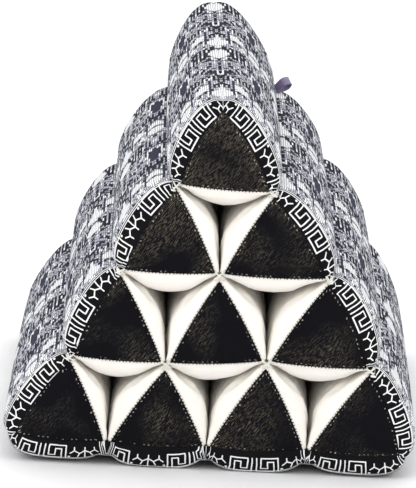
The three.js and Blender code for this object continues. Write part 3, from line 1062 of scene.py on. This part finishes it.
def printed(name, with_field):
    cloth = Finish(name, roughness=0.92, sheen=0.0, specular=0.08)
    spot, u, v = cloth_place(cloth)
    wander = cloth.noise(spot, 0.09, 2.0)
    u = u + (wander - 0.5) * 1.6
    inwards = (v - FIELD_LENGTH / 2).math("ABSOLUTE") - FIELD_LENGTH / 2
    in_border = inwards > -1.1
    lines = border_lines(cloth, u, inwards)
    border = cloth.mix(lines, BLACK_THREADS, WHITE_THREADS)
    edge_line = (inwards + 1.7).math("ABSOLUTE") < 0.6
    from_axis = ((u + PERIOD / 2).wrap(PERIOD) - PERIOD / 2).math("ABSOLUTE")
    mark = from_axis / FIELD_MARK
    column = mark.math("FLOOR").least(19)
    ribs = abs(mark.math("FRACT") * 2 - 1)
    if with_field:
        back = (v + wander * 3 - 1.5).wrap(FIELD_REPEAT)
        halves = []
        for first, last in ((0, FIELD_TURN), (FIELD_TURN, FIELD_REPEAT)):
            ramp = {"stops": chart_stops(first, last), "blend": "CONSTANT"}
            halves.append(cloth.add("ShaderNodeValToRGB", ramp, [(back - first) / (last - first)]))
        chart = cloth.mix(back > FIELD_TURN, *halves)
        power = cloth.add("ShaderNodeMath", {"operation": "POWER"}, [2.0, column + 1])
        marks = [
            (cloth.add("ShaderNodeSeparateColor", None, [chart], i) * power).math("MODULO", 2) > 1
            for i in range(3)
        ]
        stagger = back / WEFT + column * 0.37
        cell = cloth.add("ShaderNodeCombineXYZ", None, [column, stagger.math("FLOOR")])
        chance = cloth.add("ShaderNodeTexWhiteNoise", {"noise_dimensions": "2D"}, [cell], "Value")
        # The darker line between two ribs is painted shade of the groove between them, laid on the ribbed
        # ground and on the white marks alike. The weft's dark ticks and the random dark strokes mixed in with
        # it are the cloth's own pattern.
        groove_shade = ((ribs - 0.5) * 2.6).math("ADD", 0, clamp=True)
        ends = (abs(stagger.math("FRACT") * 2 - 1) > 0.74) * (chance < 0.7)
        groove_shade_and_ticks = (groove_shade * 0.8).most(ends * 0.85).most(chance < 0.23)
        ground = cloth.mix(groove_shade_and_ticks, PALE, GROOVE_SHADE_AND_TICKS)
        ground = cloth.mix((chance > 0.8) * (1 - groove_shade), ground, FIELD_WHITE)
        white = cloth.mix(groove_shade * 0.6, FIELD_WHITE, GROOVE_SHADE_AND_TICKS)
        colour = cloth.mix(marks[2], ground, white)
        colour = cloth.mix(marks[1], colour, SLATE)
        colour = cloth.mix(marks[0], colour, INK)
    else:
        colour = cloth.mix(wander * 0.3, BLACK_THREADS, INK)
    colour = cloth.mix((inwards + 2.8).math("ABSOLUTE") < 0.45, colour, INK)
    colour = cloth.mix(edge_line, colour, WHITE_THREADS)
    colour = cloth.mix(in_border, colour, border)
    cloth.set("Base Color", colour)
    threads = (v * (2 * math.pi / 1.3)).sine() * 0.5 + ribs
    cloth.bump(threads + wander, 0.25 * MM, 0.5)
    return cloth


print_cloth = printed("printed_cotton", True)
left_walls = [(row, 1, 0) for row in range(ROWS, 0, -1)]
right_walls = [(row, row, 1) for row in range(1, ROWS + 1)]
cover = lay_cloth(
    "cover_cloth",
    left_walls + right_walls,
    MOTIF_ON_LEFT[::-1] + MOTIF_ON_RIGHT,
    [False] * ROWS + [True] * ROWS,
    print_cloth.material,
)
thickness = cover.modifiers.new("thickness", "SOLIDIFY")
thickness.thickness = CLOTH
thickness.offset = 0
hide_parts("cover")

# The base is black cotton under the lowest row, sewn to the cover at the two bottom corners. Its ends
# carry the same key border.
base_finish = printed("base_cotton", False)
base_walls = [(ROWS, place, 2) for place in range(ROWS, 0, -1)]
base = lay_cloth("base_cloth", base_walls, MOTIF_ON_BASE[::-1], [False] * ROWS, base_finish.material)
thickness = base.modifiers.new("thickness", "SOLIDIFY")
thickness.thickness = CLOTH
thickness.offset = 0
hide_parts("base")

# The loop tag is a bare purple satin ribbon, folded into a loop and sewn into the crease under the top
# tube near the back.
TAG_Y = 212 * MM
TAG_WIDTH = 12 * MM
TAG_CLOTH = 0.7 * MM
TAG_FOOT = 11 * MM
TAG_LEAN = -0.08
TAG_TURN = math.radians(30)  # of the ribbon about its own length, its face towards the front
# Half of the loop's outline: millimetres from its foot, half of its width.
TAG_OUTLINE = [(0, 0.75), (3, 1.2), (6.5, 2.4), (10, 3.1), (13, 2.6), (15.4, 1.3), (16.2, 0.5)]
satin = Finish("purple_satin", roughness=0.34, sheen=0.1, specular=0.6)
ribbon = satin.add("ShaderNodeUVMap", {"uv_map": "ribbon"})
along = satin.add("ShaderNodeSeparateXYZ", None, [ribbon], 0) * 1000
across = satin.add("ShaderNodeSeparateXYZ", None, [ribbon], 1) * 1000
spot, _ = satin.place()
# The streaks along the ribbon, from dark to light purple, are painted sheen: the satin's lustre drawn into
# its colour. The same noise also roughens the bump.
sheen_streaks = satin.noise(satin.add("ShaderNodeCombineXYZ", None, [along * 0.12, across * 2.5, 0.0]), 1.0, 3.0)
painted_satin_sheen = satin.mix(sheen_streaks, (0.10, 0.07, 0.17, 1), (0.36, 0.29, 0.5, 1))
selvedge = (across - TAG_WIDTH / MM / 2).math("ABSOLUTE") > TAG_WIDTH / MM / 2 - 0.9
satin.set("Base Color", satin.mix(selvedge, painted_satin_sheen, (0.2, 0.15, 0.3, 1)))
satin.bump((across * (2 * math.pi / 0.5)).sine() + sheen_streaks, 0.1 * MM, 0.5)


def satin_loop():
    root = seam(1, 1, TAG_Y)
    out = outwards(seam(0, 0, TAG_Y), seam(ROWS, ROWS, TAG_Y))
    lean = Matrix.Rotation(TAG_LEAN, 3, "Y") @ Vector(out)
    out = np.array(lean)
    aside = np.array([-out[2], 0, out[0]])
    outline = TAG_OUTLINE + [(along, -half) for along, half in reversed(TAG_OUTLINE)]
    coarse = np.array([root + out * (TAG_FOOT + a * MM) + aside * w * MM for a, w in outline])
    smooth = []
    for i in range(len(coarse) - 1):
        before, here, there, beyond = (coarse[min(max(k, 0), len(coarse) - 1)] for k in range(i - 1, i + 3))
        for t in (0, 0.25, 0.5, 0.75):
            smooth.append(
                here + (there - before) * t / 2
                + (2 * before - 5 * here + 4 * there - beyond) * t**2 / 2
                + (3 * here - before - 3 * there + beyond) * t**3 / 2
            )
    smooth.append(coarse[-1])
    smooth = np.array(smooth)
    widths = np.linspace(-0.5, 0.5, 7)
    foot = root + out * TAG_FOOT
    turn = np.array(Matrix.Rotation(TAG_TURN, 3, Vector(out)))
    points = [foot + turn @ (p - foot + np.array([0, w * TAG_WIDTH, 0])) for p in smooth for w in widths]
    tag = new_piece("satin_loop", points, grid_faces(len(smooth), len(widths)), satin.material)
    run = np.concatenate([[0], np.cumsum(np.linalg.norm(np.diff(smooth, axis=0), axis=1))])
    coordinates = tag.data.uv_layers.new(name="ribbon")
    for face in tag.data.polygons:
        for corner, vertex in zip(face.loop_indices, face.vertices):
            i, j = divmod(vertex, len(widths))
            coordinates.data[corner].uv = run[i], (widths[j] + 0.5) * TAG_WIDTH
    return tag, run[-1]


tag, tag_run = satin_loop()
thickness = tag.modifiers.new("thickness", "SOLIDIFY")
thickness.thickness = TAG_CLOTH
thickness.offset = 0
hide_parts("loop_tag")
